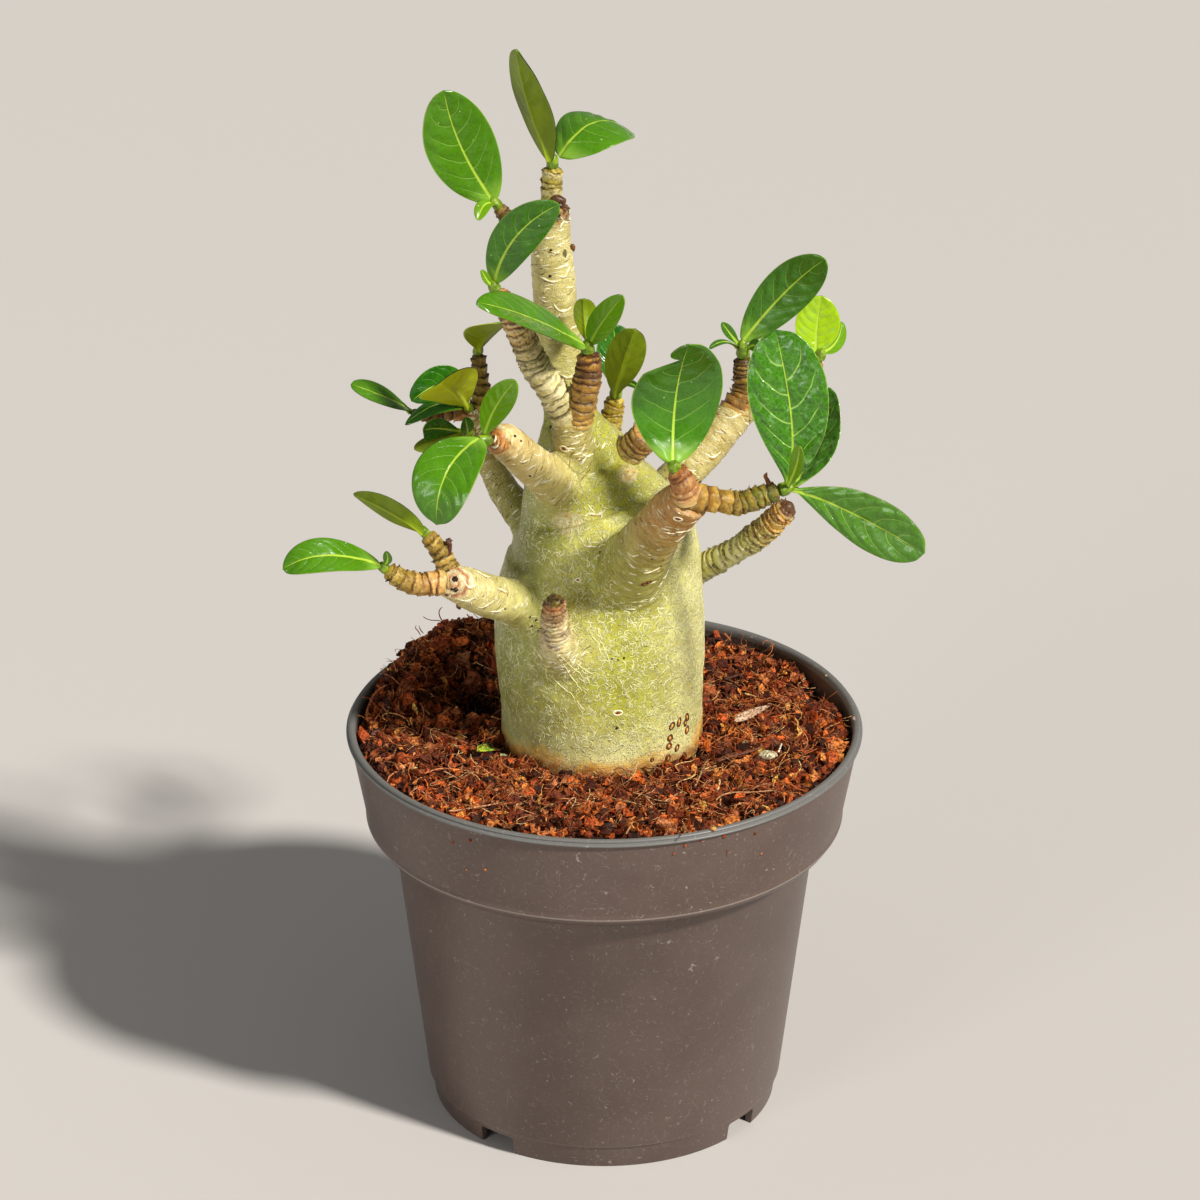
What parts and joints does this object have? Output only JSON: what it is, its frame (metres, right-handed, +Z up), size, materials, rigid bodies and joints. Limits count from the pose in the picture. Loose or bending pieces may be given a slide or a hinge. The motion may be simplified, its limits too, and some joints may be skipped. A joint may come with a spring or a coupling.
{
  "type": "potted desert rose adenium",
  "caption": "Young desert rose with a swollen bottle-shaped caudex, ring-scarred shoots and spoon-shaped leaves, in a coir-filled round plastic nursery pot.",
  "frame": {"origin": "on the surface that the pot stands on, under the middle of the pot", "axes": "+Z up along the pot's axis, -Y towards the side with the thick front branch, +X to its right"},
  "size_m": [0.1416, 0.12, 0.2627],
  "materials": {
    "pot_plastic": "satin",
    "coir_soil": "matte",
    "bark": "satin",
    "leaf_green": "gloss",
    "leaf_young": "gloss",
    "leaf_olive": "satin",
    "leaf_lime": "gloss"
  },
  "bodies": {
    "root": {"pot": "pot_plastic", "soil": "coir_soil", "caudex_and_branches": "bark", "leaves_leader": "leaf_olive", "leaves_twig": "leaf_green", "leaves_left": "leaf_green", "leaves_middle": "leaf_young", "leaves_low": "leaf_olive", "leaves_stub": "leaf_young", "leaves_back": "leaf_olive", "leaves_knot": "leaf_olive", "leaves_side": "leaf_green", "leaves_shade": "leaf_green", "leaves_lower_left": "leaf_young", "leaves_upper_left": "leaf_olive", "leaves_front": "leaf_green", "leaves_right": "leaf_green", "leaves_far": "leaf_green", "leaves_tip": "leaf_lime"}
  },
  "joints": []
}
